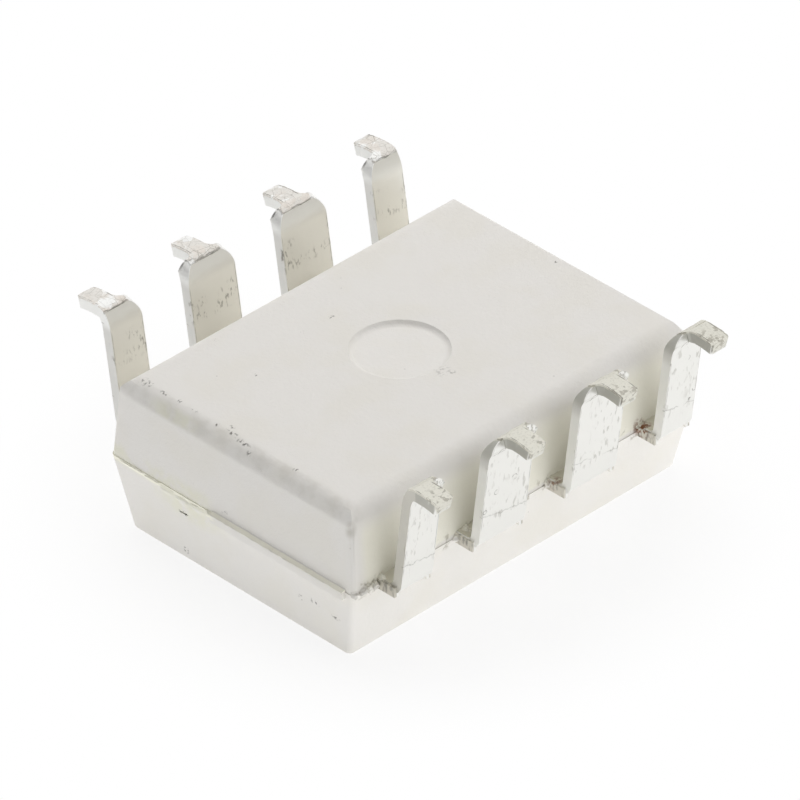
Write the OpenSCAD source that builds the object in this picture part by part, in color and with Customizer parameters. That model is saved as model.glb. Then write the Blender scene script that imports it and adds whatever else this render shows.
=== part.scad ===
// Eight-lead surface-mount optocoupler, two channels, lying on its marked face.
// Millimetres. X runs along the package, Y across the lead rows, Z up from the marked face.
// Leads 1 to 4 are the +Y row from -X to +X, leads 5 to 8 the -Y row from +X back to -X.

/* [Package body] */
// Width across the long sides at the parting line
body_w = 6.92; // [6.2:0.02:8.4]
// Height between the marked face and the underside
body_h = 3.54; // [3:0.02:4.4]
// Height of the parting line above the marked face
parting_h = 1.72; // [1.5:0.02:2.2]
// Body length beyond the axis of the end leads, at the parting line
end_margin = 0.95; // [0.75:0.01:1.4]
// Draft of the end faces between parting line and underside, degrees
upper_end_draft = 4.5; // [2:0.5:10]
// Draft of the long sides between parting line and underside, degrees
upper_side_draft = 5; // [3:0.5:14]
// Draft of the end faces between marked face and parting line, degrees
lower_end_draft = 7.3; // [2:0.1:12]
// Draft of the long sides between marked face and parting line, degrees
lower_side_draft = 12; // [3:0.5:15]
// Length of the bevel on the underside's two short edges
bevel_run = 0.15; // [0.1:0.01:0.5]
// Drop of that bevel down the end face
bevel_drop = 0.31; // [0.08:0.01:0.4]
// Round of the underside's two long edges
long_edge_r = 0.42; // [0.1:0.01:0.8]
// Round of the upright corners above the parting line
upper_corner_r = 0.24; // [0.1:0.01:0.5]
// Round of the upright corners below the parting line
lower_corner_r = 0.12; // [0.05:0.01:0.4]

/* [Mould marks] */
// Reach of the flash lip at the parting line of each end
flash_reach = 0.14; // [0.04:0.01:0.3]
// Thickness of the flash lip
flash_t = 0.1; // [0.04:0.01:0.2]
// Radius of the ejector mark on the underside
eject_r = 1.03; // [0.5:0.01:1.4]
// Depth of the ejector mark
eject_depth = 0.1; // [0.04:0.01:0.2]
// Half of the width of the ejector mark's sloping wall
eject_wall = 0.04; // [0.01:0.01:0.08]
// Place of the ejector mark along the package
eject_x = -0.05; // [-0.5:0.01:0.5]
// Place of the ejector mark across the package
eject_y = 0.03; // [-0.5:0.01:0.5]
// Length of the gate scar on the -X end
gate_len = 1.1; // [0.5:0.05:2]
// Height of the gate scar
gate_w = 0.3; // [0.15:0.01:0.34]
// Depth of the gate scar behind the parting line
gate_depth = 0.11; // [0.08:0.01:0.2]
// Drop from the parting line to the middle of the gate scar
gate_drop = 0.34; // [0.3:0.01:0.45]
// Place of the gate scar across the package
gate_y = 1.25; // [-1.5:0.05:1.5]
// Radius of the dimple in the marked face beside lead 1
dimple_r = 0.45; // [0.2:0.01:0.7]
// Depth of that dimple
dimple_depth = 0.08; // [0.03:0.01:0.15]
// Distance of the dimple's centre from the edges of the marked face
dimple_inset = 0.95; // [0.8:0.01:1.3]

/* [Leads] */
// Distance between neighbouring leads in a row
pitch = 2.54; // [2.4:0.01:3]
// Thickness of the lead strip
lead_t = 0.25; // [0.15:0.01:0.35]
// Width of a lead below its shoulders
lead_w = 1.27; // [0.9:0.01:1.6]
// Width of the narrow foot
foot_w = 0.46; // [0.3:0.01:0.6]
// Length of the flat foot from its bend to the tip
foot_len = 0.54; // [0.3:0.01:1.2]
// Slope of the foot down towards its tip, degrees
foot_droop = 8; // [0:0.5:12]
// Height of the feet above the underside of the body
standoff = 0.89; // [0.5:0.01:1.4]
// Flat run of a lead from the body to its first bend
lead_reach = 0.26; // [0.15:0.01:0.6]
// Lean of the upright part away from the body, degrees
lead_lean = 8; // [0:0.5:12]
// Inside radius of the bend beside the body
base_bend_r = 0.12; // [0.06:0.01:0.3]
// Inside radius of the bend under the foot
foot_bend_r = 0.14; // [0.05:0.01:0.25]
// Drop of the shoulders below the crown of the foot
shoulder_drop = 0.02; // [0.01:0.01:0.1]
// Round of the shoulder corners
shoulder_r = 0.22; // [0.1:0.01:0.4]
// Stub of the cut dam bar on each side of the first bend
dam_stub = 0.04; // [0.01:0.01:0.15]

/* [Leadframe inside the body] */
// Depth of the wide root of a lead behind the parting line
root_depth = 0.8; // [0.5:0.01:1]
// Width of the arms that carry the chips and take the wires
arm_w = 0.76; // [0.72:0.01:0.9]
// Rim of the chip pad beyond the detector chip
pad_rim = 0.05; // [0.02:0.01:0.1]
// Gap between the chip pad and the wire post
frame_gap = 0.18; // [0.12:0.01:0.3]
// Distance of the wire's foot from the end of its post
bond_inset = 0.12; // [0.08:0.01:0.2]

/* [Chips, wires and domes] */
// Distance of the chips from the middle plane between the two rows
chip_offset = 0.7; // [0.6:0.01:0.85]
// Side of the emitter chip
emitter_w = 0.32; // [0.2:0.01:0.45]
// Thickness of the emitter chip
emitter_h = 0.18; // [0.1:0.01:0.25]
// Side of the detector chip
detector_w = 0.62; // [0.4:0.01:0.7]
// Thickness of the detector chip
detector_h = 0.2; // [0.1:0.01:0.25]
// Diameter of the bond wires
wire_d = 0.03; // [0.02:0.005:0.05]
// Height of the clear dome over the chips
dome_h = 1; // [0.8:0.01:1.15]
// Cover of the dome beyond the detector chip's corner
dome_margin = 0.15; // [0.1:0.01:0.25]

/* [Hidden] */
LEADS = 8;
CHANNELS = 2;
// Steps in which rounded outlines are drawn
arc_steps = 8;
// Roundness of circles
$fn = 64;

half_l = 1.5 * pitch + end_margin;
half_w = body_w / 2;
upper_h = body_h - parting_h;
top_l = half_l - upper_h * tan(upper_end_draft);
top_w = half_w - upper_h * tan(upper_side_draft);
bottom_l = half_l - parting_h * tan(lower_end_draft);
bottom_w = half_w - parting_h * tan(lower_side_draft);

// Leadframe plane: the strip is centred on the parting line
strip_z = parting_h - lead_t / 2;
root_y = half_w - root_depth;

// First bend: its centre lies above the flat strip
base_bend_y = half_w + lead_reach;
base_bend_z = strip_z + lead_t + base_bend_r;
base_bend_angle = 90 - lead_lean;

// Foot bend: its crown stands at the height that the standoff sets
crown_r = foot_bend_r + lead_t;
crown_z = body_h + standoff - crown_r;
crown_offset = base_bend_r + crown_r;
rise_len = (crown_z - base_bend_z + crown_offset * cos(base_bend_angle)) / sin(base_bend_angle);
foot_angle = base_bend_angle + foot_droop;
shoulder_top = rise_len + crown_r - shoulder_drop;
// Part of a shoulder's width that its round may take
shoulder_share = 0.98;

// Chip pads and wire posts, measured from the middle of a channel
pad_end = detector_w / 2 + pad_rim;
post_start = pad_end + frame_gap;
bond_x = post_start + bond_inset;
dome_r = norm([detector_w / 2, chip_offset + detector_w / 2]) + dome_margin;
dome_sphere_r = (dome_h * dome_h + dome_r * dome_r) / (2 * dome_h);

// The corner cutter's circle is a little wide, so that it crosses both faces cleanly
corner_crossing = 1.02;

body_colour = [0.87, 0.86, 0.84];
tin_colour = [0.79, 0.78, 0.73];
emitter_colour = [0.45, 0.2, 0.18];
detector_colour = [0.22, 0.24, 0.3];
wire_colour = [0.85, 0.68, 0.28];
dome_colour = [0.85, 0.9, 0.92, 0.5];

// Points of an arc from angle a to angle b
function arc(centre, r, a, b) =
    [for (i = [0:arc_steps]) let (t = a + (b - a) * i / arc_steps) centre + r * [cos(t), sin(t)]];

// Points of a half outline, mirrored and in the order that closes it
function turned(points) = [for (i = [len(points) - 1:-1:0]) [-points[i].x, points[i].y]];

// A closed outline from the points of its right half
function both_sides(half) = concat(half, turned(half));

// Place of a lead along the package, its end leads, and the channel middle along the package
function lead_x(i) = (i <= LEADS / 2 ? i - 2.5 : 6.5 - i) * pitch;
function carries_chip(i) = i <= LEADS / 2 ? i % 2 == 1 : i % 2 == 0;
function channel_x(c) = (2 * c - 3) * pitch;

// Edges of a lead across its axis: an end lead has no shoulder on its outer side
function lead_low(i) = lead_x(i) < -pitch ? -foot_w / 2 : -lead_w / 2;
function lead_high(i) = lead_x(i) > pitch ? foot_w / 2 : lead_w / 2;

// Outline of the body seen along Y: drafted ends with bevelled upper edges
module end_outline() {
    polygon(both_sides([
        [bottom_l, 0],
        [half_l, parting_h],
        [top_l + bevel_drop * tan(upper_end_draft), body_h - bevel_drop],
        [top_l - bevel_run, body_h]
    ]));
}

// Outline of the body seen along X: drafted sides with rounded upper edges
module side_outline() {
    tangent = long_edge_r / tan(45 + upper_side_draft / 2);
    centre = [top_w - tangent, body_h - long_edge_r];
    polygon(both_sides(concat(
        [[bottom_w, 0], [half_w, parting_h]],
        arc(centre, long_edge_r, upper_side_draft, 90)
    )));
}

// Cutter that rounds the drafted corner edge between two points
module corner_cutter(low, high, r) {
    edge = high - low;
    translate(low)
        rotate([-asin(edge.y / norm(edge)), atan2(edge.x, edge.z), 0])
            translate([0, 0, -r])
                linear_extrude(height = norm(edge) + 2 * r)
                    difference() {
                        translate([-r, -r]) square(2 * r);
                        translate([-r, -r]) circle(r * corner_crossing);
                    }
}

module body_block() {
    difference() {
        intersection() {
            rotate([90, 0, 0]) linear_extrude(height = 2 * half_w, center = true) end_outline();
            rotate([90, 0, 90]) linear_extrude(height = 2 * half_l, center = true) side_outline();
        }
        for (mx = [0, 1]) for (my = [0, 1])
            mirror([mx, 0, 0]) mirror([0, my, 0]) {
                corner_cutter([half_l, half_w, parting_h], [top_l, top_w, body_h], upper_corner_r);
                corner_cutter([bottom_l, bottom_w, 0], [half_l, half_w, parting_h], lower_corner_r);
            }
    }
}

// Thin lip of flash along the parting line of both ends
module flash_lip() {
    lip_l = half_l + flash_reach;
    lip_w = half_w - upper_corner_r;
    translate([-lip_l, -lip_w, parting_h - flash_t]) cube([2 * lip_l, 2 * lip_w, flash_t]);
}

module ejector_mark() {
    translate([eject_x, eject_y, body_h - eject_depth])
        cylinder(h = 2 * eject_depth, r1 = eject_r - eject_wall, r2 = eject_r + eject_wall);
}

module gate_scar() {
    straight = gate_len - gate_w;
    translate([-half_l - gate_depth, gate_y, parting_h - gate_drop])
        rotate([90, 0, 90])
            linear_extrude(height = 2 * gate_depth) {
                square([straight, gate_w], center = true);
                for (side = [-1, 1]) translate([side * straight / 2, 0]) circle(gate_w / 2);
            }
}

module lead_1_dimple() {
    translate([dimple_inset - bottom_l, bottom_w - dimple_inset, 0])
        cylinder(h = 2 * dimple_depth, r = dimple_r, center = true);
}

module moulded_body() {
    color(body_colour)
        difference() {
            union() {
                body_block();
                flash_lip();
            }
            ejector_mark();
            gate_scar();
            lead_1_dimple();
            for (i = [1:LEADS]) place_lead(i) lead_root(i);
            for (c = [1:CHANNELS]) dome_cap(c);
        }
}

// Puts a lead of the +Y row in its own place, in either row
module place_lead(i) {
    translate([lead_x(i), 0, 0]) mirror([0, i > LEADS / 2 ? 1 : 0, 0]) children();
}

// Flat part of a lead: root, finger, and the arm that reaches to the middle of its channel
module lead_root(i) {
    low = lead_low(i);
    high = lead_high(i);
    arm_low = carries_chip(i) ? -foot_w / 2 : post_start - pitch / 2;
    arm_high = carries_chip(i) ? pad_end + pitch / 2 : foot_w / 2;
    arm_y = chip_offset - arm_w / 2;
    translate([0, 0, strip_z])
        linear_extrude(height = lead_t) {
            translate([low, root_y]) square([high - low, base_bend_y - root_y]);
            translate([-foot_w / 2, arm_y]) square([foot_w, root_y - arm_y]);
            translate([arm_low, arm_y]) square([arm_high - arm_low, arm_w]);
        }
}

// Rounded shoulder on the right of the foot, for a plate whose edge lies there
function shoulder(edge) =
    let (foot = foot_w / 2, r = min(shoulder_r, shoulder_share * (edge - foot)))
    edge > foot ? concat(arc([edge - r, shoulder_top - r], r, 0, 90), [[foot, shoulder_top]]) : [];

// Outline of a lead seen square to its upright part: the shoulders are rounded off over the bend,
// and the narrow foot runs on beyond them
module plate_outline(low, high) {
    beyond = rise_len + 2 * crown_r;
    polygon(concat(
        [[low, 0], [high, 0]],
        shoulder(high),
        [[foot_w / 2, beyond], [-foot_w / 2, beyond]],
        turned(shoulder(-low))
    ));
}

// Upright strip of full width and its bend over the crown, in a plane turned so that
// the upright part runs along Y, with the body on the +Z side
module bent_strip() {
    translate([-lead_w / 2, 0, -base_bend_r - lead_t]) cube([lead_w, rise_len, lead_t]);
    translate([0, rise_len, -crown_offset])
        rotate([0, -90, 0])
            rotate_extrude(angle = foot_angle)
                translate([foot_bend_r, -lead_w / 2]) square([lead_t, lead_w]);
}

// Flat foot beyond the bend, in the same plane
module flat_foot() {
    translate([0, rise_len, -crown_offset])
        rotate([-foot_angle, 0, 0])
            translate([-foot_w / 2, 0, foot_bend_r]) cube([foot_w, foot_len, lead_t]);
}

// Formed part of a lead: base bend with dam bar stubs, leaning plate bent over the crown, narrow foot
module lead_wing(i) {
    low = lead_low(i);
    high = lead_high(i);
    translate([0, base_bend_y, base_bend_z]) {
        rotate([0, 90, 0])
            rotate_extrude(angle = base_bend_angle)
                translate([base_bend_r, low - dam_stub]) square([lead_t, high - low + 2 * dam_stub]);
        rotate([base_bend_angle, 0, 0]) {
            intersection() {
                bent_strip();
                translate([0, 0, -2 * crown_offset])
                    linear_extrude(height = 2 * crown_offset) plate_outline(low, high);
            }
            flat_foot();
        }
    }
}

module lead(i) {
    color(tin_colour)
        place_lead(i) {
            lead_root(i);
            lead_wing(i);
        }
}

// A chip hangs from the marked side of its pad
module chip(c, y, w, h) {
    translate([channel_x(c) - w / 2, y - w / 2, strip_z - h]) cube([w, w, h]);
}

module emitter_chip(c) {
    color(emitter_colour) chip(c, chip_offset, emitter_w, emitter_h);
}

module detector_chip(c) {
    color(detector_colour) chip(c, -chip_offset, detector_w, detector_h);
}

// Arch of wire from the chip's face to the post of the next lead
module bond_wire(c, y, chip_h) {
    arch_r = bond_x / 2;
    translate([channel_x(c) + arch_r, y, strip_z - chip_h]) {
        rotate([-90, 0, 0])
            rotate_extrude(angle = 180) translate([arch_r, 0]) circle(d = wire_d, $fn = 24);
        translate([arch_r, 0, 0]) cylinder(h = chip_h, d = wire_d, $fn = 24);
    }
}

module emitter_wire(c) {
    color(wire_colour) bond_wire(c, chip_offset, emitter_h);
}

module detector_wire(c) {
    color(wire_colour) bond_wire(c, -chip_offset, detector_h);
}

// Outer form of the clear dome, flat against the leadframe
module dome_cap(c) {
    translate([channel_x(c), 0, strip_z])
        intersection() {
            translate([0, 0, dome_sphere_r - dome_h]) sphere(dome_sphere_r);
            translate([-dome_r, -dome_r, -dome_h]) cube([2 * dome_r, 2 * dome_r, dome_h]);
        }
}

module light_dome(c) {
    color(dome_colour)
        difference() {
            dome_cap(c);
            chip(c, chip_offset, emitter_w, emitter_h);
            chip(c, -chip_offset, detector_w, detector_h);
            bond_wire(c, chip_offset, emitter_h);
            bond_wire(c, -chip_offset, detector_h);
        }
}

moulded_body();
for (i = [1:LEADS]) {
    lead(i);
}
for (c = [1:CHANNELS]) {
    emitter_chip(c);
    detector_chip(c);
    emitter_wire(c);
    detector_wire(c);
    light_dome(c);
}
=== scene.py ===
"""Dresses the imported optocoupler: white resin package, tin-plated leads, chips under clear domes.

Pieces are modelled in millimetres on the bench and brought to metres when they are finished.
The frame is the part's own: X along the package, Y across the lead rows, Z up from the marked face.
"""

from __future__ import annotations

import logging
import math
from contextlib import contextmanager
from dataclasses import dataclass
from enum import Enum
from functools import cached_property
from typing import Any, Callable, Iterator, Optional, Sequence, Union

import bmesh
import bpy
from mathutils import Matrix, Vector


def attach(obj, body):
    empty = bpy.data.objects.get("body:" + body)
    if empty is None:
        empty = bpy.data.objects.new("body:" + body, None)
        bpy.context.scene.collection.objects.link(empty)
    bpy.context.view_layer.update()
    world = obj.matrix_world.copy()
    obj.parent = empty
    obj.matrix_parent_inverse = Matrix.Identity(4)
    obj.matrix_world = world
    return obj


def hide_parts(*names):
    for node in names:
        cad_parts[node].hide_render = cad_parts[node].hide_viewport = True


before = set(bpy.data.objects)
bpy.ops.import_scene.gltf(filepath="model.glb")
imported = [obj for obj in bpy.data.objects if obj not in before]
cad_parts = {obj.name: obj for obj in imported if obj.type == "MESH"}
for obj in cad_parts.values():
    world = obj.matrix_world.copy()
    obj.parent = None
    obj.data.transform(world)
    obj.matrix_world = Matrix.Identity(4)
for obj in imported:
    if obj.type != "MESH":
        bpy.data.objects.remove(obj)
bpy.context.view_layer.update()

MM = 0.001
PER_METRE = 1000.0
ROOT = "root"

# Sizes in mm that the leads share with their finish: the shoulder's half axes across and up the plate,
# and the point of the neck that they start from.
PITCH = 2.54
PLATE_HALF = 0.635
FOOT_HALF = 0.23
END_EDGE = 1.5 * PITCH + FOOT_HALF
SHOULDER = (0.315, 0.36)
NECK = (0.32, 2.62)
# Planes that a soft border or a round shoulder is cut with.
SOFT_STEPS = 8
# Limits for picking: the cosine of a run along an axis, of a run across it, and a short distance in mm.
ALONG = 0.9
ACROSS = 0.1
NEAR = 0.01

Triple = tuple[float, float, float]
Test = Callable[[Vector, Vector], bool]
log = logging.getLogger("optocoupler")


def srgb(red: int, green: int, blue: int) -> tuple[float, float, float, float]:
    """Turns a colour as it is seen on a screen, 0 to 255, into linear light with full alpha.

    Args:
        red: Red channel.
        green: Green channel.
        blue: Blue channel.

    Returns:
        The linear colour.
    """

    def linear(value: int) -> float:
        """One channel in linear light."""
        share = value / 255
        return share / 12.92 if share <= 0.04045 else ((share + 0.055) / 1.055) ** 2.4

    return (linear(red), linear(green), linear(blue), 1.0)


def clear_selection() -> None:
    """Leaves edit mode if it is on and deselects every object."""
    if bpy.context.object and bpy.context.object.mode != "OBJECT":
        bpy.ops.object.mode_set(mode="OBJECT")
    bpy.ops.object.select_all(action="DESELECT")


class Element(Enum):
    """What a selection picks in edit mode."""

    VERT = "verts"
    EDGE = "edges"
    FACE = "faces"

    def measure(self, item: Any) -> tuple[Vector, Vector]:
        """Gives the middle of an element and its direction.

        Args:
            item: A vertex, edge or face of the mesh in edit mode.

        Returns:
            The middle, and the normal or, for an edge, the direction of its run.
        """
        if self is Element.VERT:
            return item.co, item.normal
        if self is Element.EDGE:
            first, second = (vert.co for vert in item.verts)
            return (first + second) / 2, (second - first).normalized()
        return item.calc_center_median(), item.normal


class Workpiece:
    """A mesh on the bench, in mm, that operators shape from a primitive to a finished piece."""

    def __init__(self, thing: bpy.types.Object, name: str) -> None:
        """Takes an object onto the bench under its piece's name.

        Args:
            thing: The object.
            name: Name of the piece.
        """
        self.thing = thing
        thing.name = name
        thing.data.name = name

    @classmethod
    def block(cls, name: str, low: Triple, high: Triple) -> Workpiece:
        """Adds a cube primitive between two corners.

        Args:
            name: Name of the piece.
            low: Lowest corner.
            high: Highest corner.

        Returns:
            The new workpiece.
        """
        clear_selection()
        middle = [(a + b) / 2 for a, b in zip(low, high)]
        size = [b - a for a, b in zip(low, high)]
        bpy.ops.mesh.primitive_cube_add(size=1.0, location=middle, scale=size)
        bpy.ops.object.transform_apply(location=True, rotation=True, scale=True)
        return cls(bpy.context.active_object, name)

    @classmethod
    def drum(
        cls,
        name: str,
        foot: Triple,
        height: float,
        radii: tuple[float, float],
        tilt: Triple = (0.0, 0.0, 0.0),
    ) -> Workpiece:
        """Adds an upright tapered drum.

        Args:
            name: Name of the piece.
            foot: Middle of the lower face.
            height: Height of the drum.
            radii: Radius of the lower and the upper face.
            tilt: Angles in radians that it is turned by about its middle.

        Returns:
            The new workpiece.
        """
        clear_selection()
        bpy.ops.mesh.primitive_cone_add(
            vertices=96,
            radius1=radii[0],
            radius2=radii[1],
            depth=height,
            location=(foot[0], foot[1], foot[2] + height / 2),
            rotation=tilt,
        )
        bpy.ops.object.transform_apply(location=True, rotation=True, scale=True)
        return cls(bpy.context.active_object, name)

    @classmethod
    def lump(cls, name: str, middle: Triple, size: Triple, seed: int) -> Workpiece:
        """Adds an irregular lump.

        Args:
            name: Name of the piece.
            middle: Its middle.
            size: Its lengths along the axes.
            seed: Picks one of many outlines.

        Returns:
            The new workpiece.
        """
        clear_selection()
        bpy.ops.mesh.primitive_ico_sphere_add(subdivisions=2, radius=0.5, location=middle, scale=size)
        bpy.ops.object.transform_apply(location=True, rotation=True, scale=True)
        lump = cls(bpy.context.active_object, name)
        with lump.editing():
            lump.pick_all()
            lump.roughen(0.3 * min(size), seed)
        return lump

    def twin(self, name: str) -> Workpiece:
        """Copies the piece, with a mesh of its own.

        Args:
            name: Name of the copy.

        Returns:
            The copy.
        """
        self.activate()
        bpy.ops.object.duplicate(linked=False)
        return Workpiece(bpy.context.active_object, name)

    def activate(self) -> None:
        """Makes the piece the only one selected, and the active one."""
        clear_selection()
        self.thing.select_set(True)
        bpy.context.view_layer.objects.active = self.thing

    @contextmanager
    def editing(self) -> Iterator[None]:
        """Keeps the piece in edit mode for the length of a with block.

        Yields:
            Nothing, while edit mode is on.
        """
        self.activate()
        bpy.ops.object.mode_set(mode="EDIT")
        yield
        bpy.ops.object.mode_set(mode="OBJECT")

    def pick(self, element: Element, test: Test) -> int:
        """Selects the elements whose middle and direction pass a test.

        Args:
            element: Vertices, edges or faces.
            test: Takes an element's middle and its direction.

        Returns:
            How many elements were selected.
        """
        bpy.ops.mesh.select_mode(type=element.name)
        bpy.ops.mesh.select_all(action="DESELECT")
        mesh = bmesh.from_edit_mesh(self.thing.data)
        mesh.normal_update()
        chosen = [item for item in getattr(mesh, element.value) if test(*element.measure(item))]
        for item in chosen:
            item.select_set(True)
        mesh.select_flush_mode()
        bmesh.update_edit_mesh(self.thing.data)
        return len(chosen)

    def pick_all(self) -> None:
        """Selects the whole mesh."""
        bpy.ops.mesh.select_all(action="SELECT")

    def push(self, way: Triple) -> None:
        """Moves what is selected."""
        bpy.ops.transform.translate(value=way)

    def resize(self, factors: Triple, centre: Triple) -> None:
        """Scales what is selected about a point."""
        bpy.ops.transform.resize(value=factors, center_override=centre)

    def draw_out(self, way: Triple) -> None:
        """Extrudes the selected faces."""
        bpy.ops.mesh.extrude_region_move(TRANSFORM_OT_translate={"value": way})

    def bevel(self, width: float, steps: int) -> None:
        """Rounds the selected edges.

        Args:
            width: Length that the round takes from either face.
            steps: How many faces it has.
        """
        bpy.ops.mesh.bevel(
            offset=width, offset_type="OFFSET", segments=steps, affect="EDGES", clamp_overlap=False
        )

    def slice(self, point: Triple, normal: Triple, cut_off: bool = False) -> None:
        """Cuts the selected faces along a plane.

        Args:
            point: A point of the plane.
            normal: The plane's normal.
            cut_off: Whether what lies on the normal's side is removed and the cut filled.
        """
        square = Vector(normal).normalized()
        bpy.ops.mesh.bisect(
            plane_co=point, plane_no=square, use_fill=cut_off, clear_outer=cut_off, threshold=1e-5
        )

    def roughen(self, amount: float, seed: int) -> None:
        """Moves each selected point a little in a direction of its own."""
        bpy.ops.transform.vertex_random(offset=amount, uniform=0.0, normal=0.0, seed=seed)

    def spin(self, degrees: float, steps: int, centre: Triple, upwards: bool) -> None:
        """Extrudes the selected faces around an axis along X.

        Args:
            degrees: How far they turn.
            steps: How many lengths they turn in.
            centre: A point of the axis.
            upwards: Whether what points to +Y turns to +Z, or the other way.
        """
        axis = (-1.0, 0.0, 0.0) if upwards else (1.0, 0.0, 0.0)
        bpy.ops.mesh.spin(steps=steps, angle=math.radians(degrees), center=centre, axis=axis)

    def apply(self, kind: str, **settings: Any) -> None:
        """Adds a modifier with its settings and applies it.

        Args:
            kind: Type of the modifier.
            settings: Its properties.
        """
        self.activate()
        modifier = self.thing.modifiers.new(kind.lower(), kind)
        for setting, value in settings.items():
            setattr(modifier, setting, value)
        bpy.ops.object.modifier_apply(modifier=modifier.name)

    def combine(self, tool: Workpiece, operation: str) -> None:
        """Joins another closed piece to this one, or cuts it away, and uses it up."""
        self.apply("BOOLEAN", operation=operation, object=tool.thing, solver="EXACT")
        bpy.data.objects.remove(tool.thing)

    def seal(self) -> None:
        """Merges doubled points and turns every face outwards."""
        with self.editing():
            self.pick_all()
            bpy.ops.mesh.remove_doubles(threshold=1e-4)
            bpy.ops.mesh.normals_make_consistent(inside=False)

    def finish(self, crease: float, surface: bpy.types.Material, slot: str, *nodes: str) -> bpy.types.Object:
        """Shades the piece, brings it to metres, dresses it and puts it on the part.

        Args:
            crease: Angle in degrees from which an edge stays sharp.
            surface: Material of the piece.
            slot: Not used.
            nodes: CAD nodes that the piece stands for.

        Returns:
            The finished object, at the origin.
        """
        self.activate()
        bpy.ops.object.shade_smooth_by_angle(angle=math.radians(crease))
        self.apply("WEIGHTED_NORMAL", keep_sharp=True, weight=100)
        self.thing.scale = (MM, MM, MM)
        bpy.ops.object.transform_apply(location=True, rotation=True, scale=True)
        self.thing.data.materials.clear()
        self.thing.data.materials.append(surface)
        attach(self.thing, ROOT)
        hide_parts(*nodes)
        faces = len(self.thing.data.polygons)
        log.info("%s: %d faces, stands for %s", self.thing.name, faces, ", ".join(nodes))
        return self.thing


class Signal:
    """A value on a surface. Arithmetic on it adds Math nodes to the tree that it belongs to."""

    def __init__(self, graph: Graph, socket: bpy.types.NodeSocket) -> None:
        """Wraps an output socket of a graph's tree."""
        self.graph = graph
        self.socket = socket

    def math(self, operation: str, *others: Value) -> Signal:
        """Adds a Math node that starts from this value."""
        return self.graph.math(operation, self, *others)

    def __add__(self, other: Value) -> Signal:
        """Sum."""
        return self.math("ADD", other)

    def __radd__(self, other: Value) -> Signal:
        """Sum with a number in front."""
        return self.math("ADD", other)

    def __sub__(self, other: Value) -> Signal:
        """Difference."""
        return self.math("SUBTRACT", other)

    def __rsub__(self, other: Value) -> Signal:
        """Difference from a number."""
        return self.graph.math("SUBTRACT", other, self)

    def __mul__(self, other: Value) -> Signal:
        """Product."""
        return self.math("MULTIPLY", other)

    def __rmul__(self, other: Value) -> Signal:
        """Product with a number in front."""
        return self.math("MULTIPLY", other)

    def __truediv__(self, other: Value) -> Signal:
        """Quotient."""
        return self.math("DIVIDE", other)

    def __rtruediv__(self, other: Value) -> Signal:
        """Quotient of a number by this value."""
        return self.graph.math("DIVIDE", other, self)

    def __mod__(self, other: Value) -> Signal:
        """Remainder."""
        return self.math("MODULO", other)

    def __abs__(self) -> Signal:
        """Size without sign."""
        return self.math("ABSOLUTE")

    def most(self, other: Value) -> Signal:
        """Larger of two values."""
        return self.math("MAXIMUM", other)

    def rise(self, low: float, high: float) -> Signal:
        """Smooth step from 0 at one level to 1 at another, which may be the lower one.

        Args:
            low: Level that gives 0.
            high: Level that gives 1.

        Returns:
            The stepped value.
        """
        if low > high:
            return 1 - self.rise(high, low)
        settings = {"interpolation_type": "SMOOTHSTEP"}
        sockets = {"Value": self, "From Min": low, "From Max": high}
        return self.graph.node("ShaderNodeMapRange", settings, sockets)

    def band(self, low: float, high: float, soft: float) -> Signal:
        """1 between two levels and 0 outside, with soft ends."""
        return self.rise(low - soft, low + soft) * self.rise(high + soft, high - soft)


Value = Union[Signal, float]


class Graph:
    """A node tree under construction."""

    def __init__(self, tree: bpy.types.NodeTree) -> None:
        """Empties a tree for new nodes."""
        self.tree = tree
        tree.nodes.clear()

    def node(
        self,
        kind: str,
        settings: Optional[dict[str, Any]] = None,
        sockets: Optional[dict[Union[str, int], Any]] = None,
        output: Union[str, int] = 0,
    ) -> Signal:
        """Adds any node.

        Args:
            kind: The node's type.
            settings: Its properties, set first.
            sockets: Values or links of its inputs, by name or number.
            output: The output that is given back.

        Returns:
            That output, or the first input of a node that has none.
        """
        made = self.tree.nodes.new(kind)
        for setting, value in (settings or {}).items():
            setattr(made, setting, value)
        for name, value in (sockets or {}).items():
            if isinstance(value, Signal):
                self.tree.links.new(value.socket, made.inputs[name])
            else:
                made.inputs[name].default_value = value
        return Signal(self, made.outputs[output] if made.outputs else made.inputs[0])

    def math(self, operation: str, *values: Value) -> Signal:
        """Adds a Math node on one to three values."""
        return self.node("ShaderNodeMath", {"operation": operation}, dict(enumerate(values)))

    def vector(self, operation: str, *values: Any) -> Signal:
        """Adds a Vector Math node that gives a vector."""
        return self.node("ShaderNodeVectorMath", {"operation": operation}, dict(enumerate(values)))

    def axes(self, vector: Signal) -> tuple[Signal, Signal, Signal]:
        """Splits a vector or a colour into its three parts."""
        parts = self.node("ShaderNodeSeparateXYZ", sockets={0: vector})
        return tuple(Signal(self, socket) for socket in parts.socket.node.outputs)

    def mix(self, share: Value, first: Any, second: Any) -> Signal:
        """Mixes two colours.

        Args:
            share: Part that the second colour takes.
            first: Colour at 0.
            second: Colour at 1.

        Returns:
            The mixed colour.
        """
        return self.node("ShaderNodeMix", {"data_type": "RGBA"}, {0: share, 6: first, 7: second}, 2)


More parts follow.
